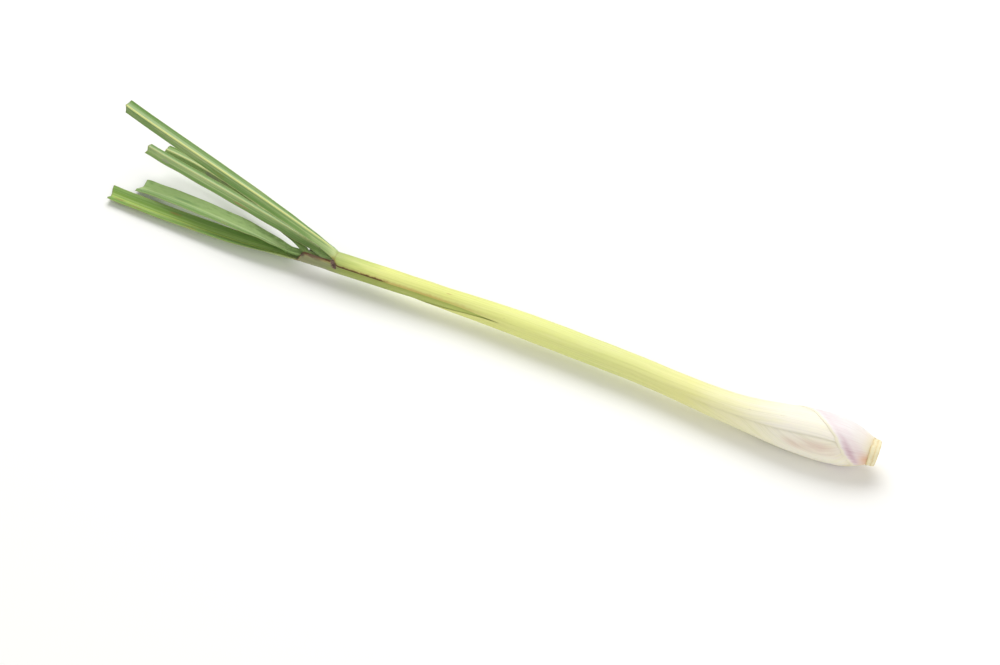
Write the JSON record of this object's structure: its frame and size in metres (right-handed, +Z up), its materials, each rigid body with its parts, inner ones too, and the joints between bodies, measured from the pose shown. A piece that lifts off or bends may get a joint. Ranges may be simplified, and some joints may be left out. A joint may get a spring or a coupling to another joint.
{
  "type": "lemongrass stalk",
  "caption": "Fresh lemongrass stalk lying down: a pale bulb with a pink-tinged sheath remnant, a slim green stem of rolled leaf sheaths and cut, folded leaf blades",
  "frame": {"origin": "on the surface that the stalk lies on, under the middle of its bounding box", "axes": "+X runs along the stalk towards its root end, -X towards the cut leaf tips, +Z is up; seen from above with the root end to the right, +Y is away from the viewer"},
  "size_m": [0.3924, 0.0428, 0.0348],
  "materials": {
    "stem_base": "freshly cut fibrous stem, matt, cream with a tan rim",
    "peeled_sheath": "thin moist leaf sheath, soft sheen, near-white with lilac-pink streaks",
    "outer_leaf": "smooth waxy leaf, soft sheen, cream at the bulb to yellow-green and leaf green, fine parallel veins",
    "inner_leaf": "waxy grass blade, soft sheen, mid green with a pale yellow midrib and fine parallel veins"
  },
  "bodies": {
    "root": {"root_plate": "stem_base", "outer_sheath_remnant": "peeled_sheath", "leaf_1": "outer_leaf", "leaf_2": "inner_leaf", "leaf_3": "inner_leaf", "leaf_4": "inner_leaf", "leaf_5": "inner_leaf"}
  },
  "joints": []
}
